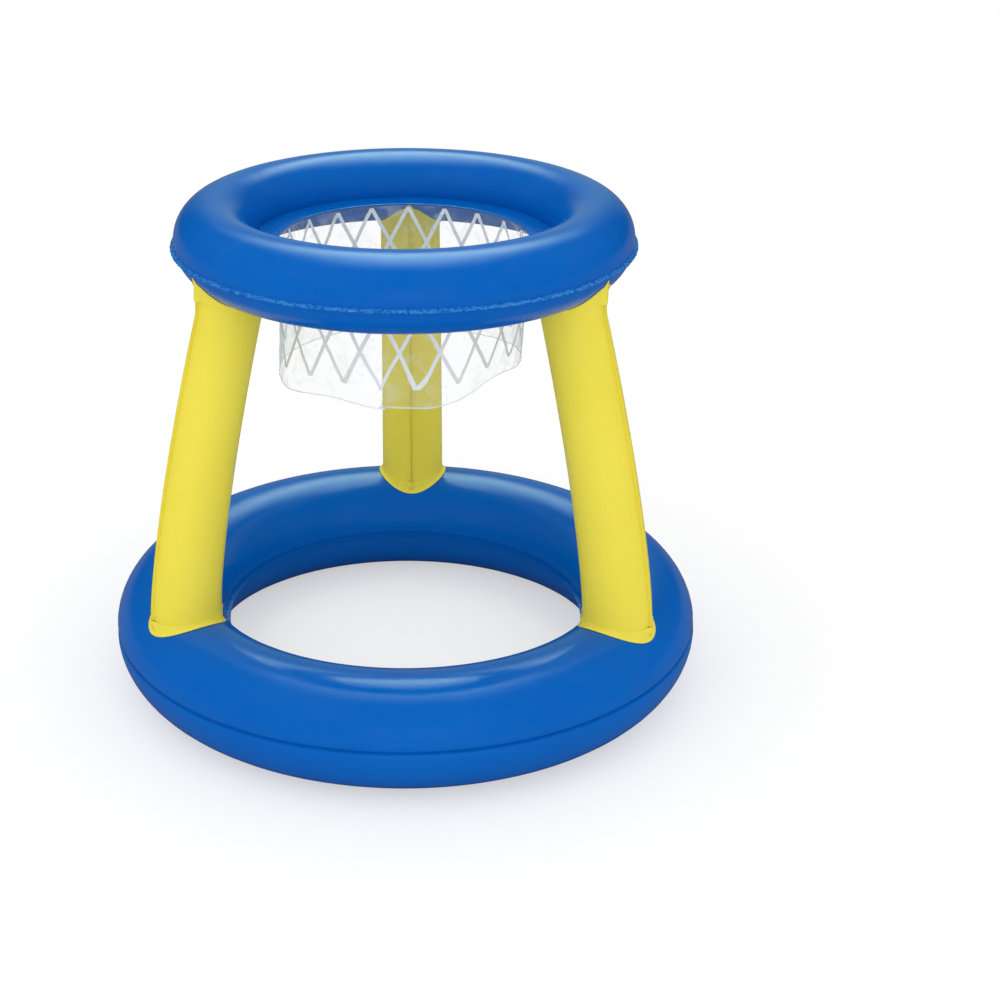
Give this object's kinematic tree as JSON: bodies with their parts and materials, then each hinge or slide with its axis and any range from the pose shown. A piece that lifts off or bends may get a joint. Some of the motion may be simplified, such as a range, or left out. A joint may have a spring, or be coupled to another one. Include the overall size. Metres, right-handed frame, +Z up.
{
  "type": "floating basketball hoop",
  "caption": "Inflatable floating basketball hoop: a wide base ring, bowed air legs and a smaller top ring with a clear printed net sleeve, with push-in air valves.",
  "frame": {"origin": "on the floor under the middle of the base ring", "axes": "+Z up along the hoop's axis, +Y towards the single back leg, away from the pictured side"},
  "size_m": [0.6044, 0.6044, 0.5022],
  "materials": {
    "blue_vinyl": "glossy soft PVC sheet",
    "yellow_vinyl": "glossy soft PVC sheet",
    "clear_film": "clear glossy PVC film with a white printed lattice",
    "valve_vinyl": "soft moulded PVC"
  },
  "bodies": {
    "hoop": {"base_ring_upper_sheet": "blue_vinyl", "base_ring_lower_sheet": "blue_vinyl", "top_ring_upper_sheet": "blue_vinyl", "top_ring_lower_sheet": "blue_vinyl", "back_leg_panel_a": "yellow_vinyl", "back_leg_panel_b": "yellow_vinyl", "back_leg_foot_cuff": "yellow_vinyl", "back_leg_head_cuff": "yellow_vinyl", "left_leg_panel_a": "yellow_vinyl", "left_leg_panel_b": "yellow_vinyl", "left_leg_foot_cuff": "yellow_vinyl", "left_leg_head_cuff": "yellow_vinyl", "right_leg_panel_a": "yellow_vinyl", "right_leg_panel_b": "yellow_vinyl", "right_leg_foot_cuff": "yellow_vinyl", "right_leg_head_cuff": "yellow_vinyl", "net_sleeve": "clear_film", "base_valve_plate": "valve_vinyl", "top_valve_plate": "valve_vinyl"},
    "base_stem": {"base_valve_stem": "valve_vinyl"},
    "base_stopper": {"base_valve_stopper": "valve_vinyl"},
    "base_flap": {"base_valve_flap": "valve_vinyl"},
    "top_stem": {"top_valve_stem": "valve_vinyl"},
    "top_stopper": {"top_valve_stopper": "valve_vinyl"},
    "top_flap": {"top_valve_flap": "valve_vinyl"}
  },
  "joints": [
    {"name": "base_stem_pull", "type": "slide", "parent": "hoop", "child": "base_stem", "axis": [-0.2981, 0.7197, 0.627], "range_m": [0, 0.012]},
    {"name": "base_stopper_hinge", "type": "hinge", "parent": "base_stem", "child": "base_stopper", "pos_m": [-0.10797, 0.26067, 0.09843], "axis": [0.9239, 0.3827, 0], "range_deg": [0, 150]},
    {"name": "base_flap_hinge", "type": "hinge", "parent": "base_stem", "child": "base_flap", "pos_m": [-0.10388, 0.25078, 0.0843], "axis": [-0.9239, -0.3827, 0], "range_deg": [0, 60], "stiffness_Nm_per_rad": 0.0001, "springref_deg": -11.46},
    {"name": "top_stem_pull", "type": "slide", "parent": "hoop", "child": "top_stem", "axis": [0.3148, 0.76, 0.5686], "range_m": [0, 0.012]},
    {"name": "top_stopper_hinge", "type": "hinge", "parent": "top_stem", "child": "top_stopper", "pos_m": [0.08098, 0.19549, 0.49598], "axis": [0.9239, -0.3827, 0], "range_deg": [0, 150]},
    {"name": "top_flap_hinge", "type": "hinge", "parent": "top_stem", "child": "top_flap", "pos_m": [0.0765, 0.18468, 0.48266], "axis": [-0.9239, 0.3827, 0], "range_deg": [0, 60], "stiffness_Nm_per_rad": 0.0001, "springref_deg": -11.46}
  ]
}
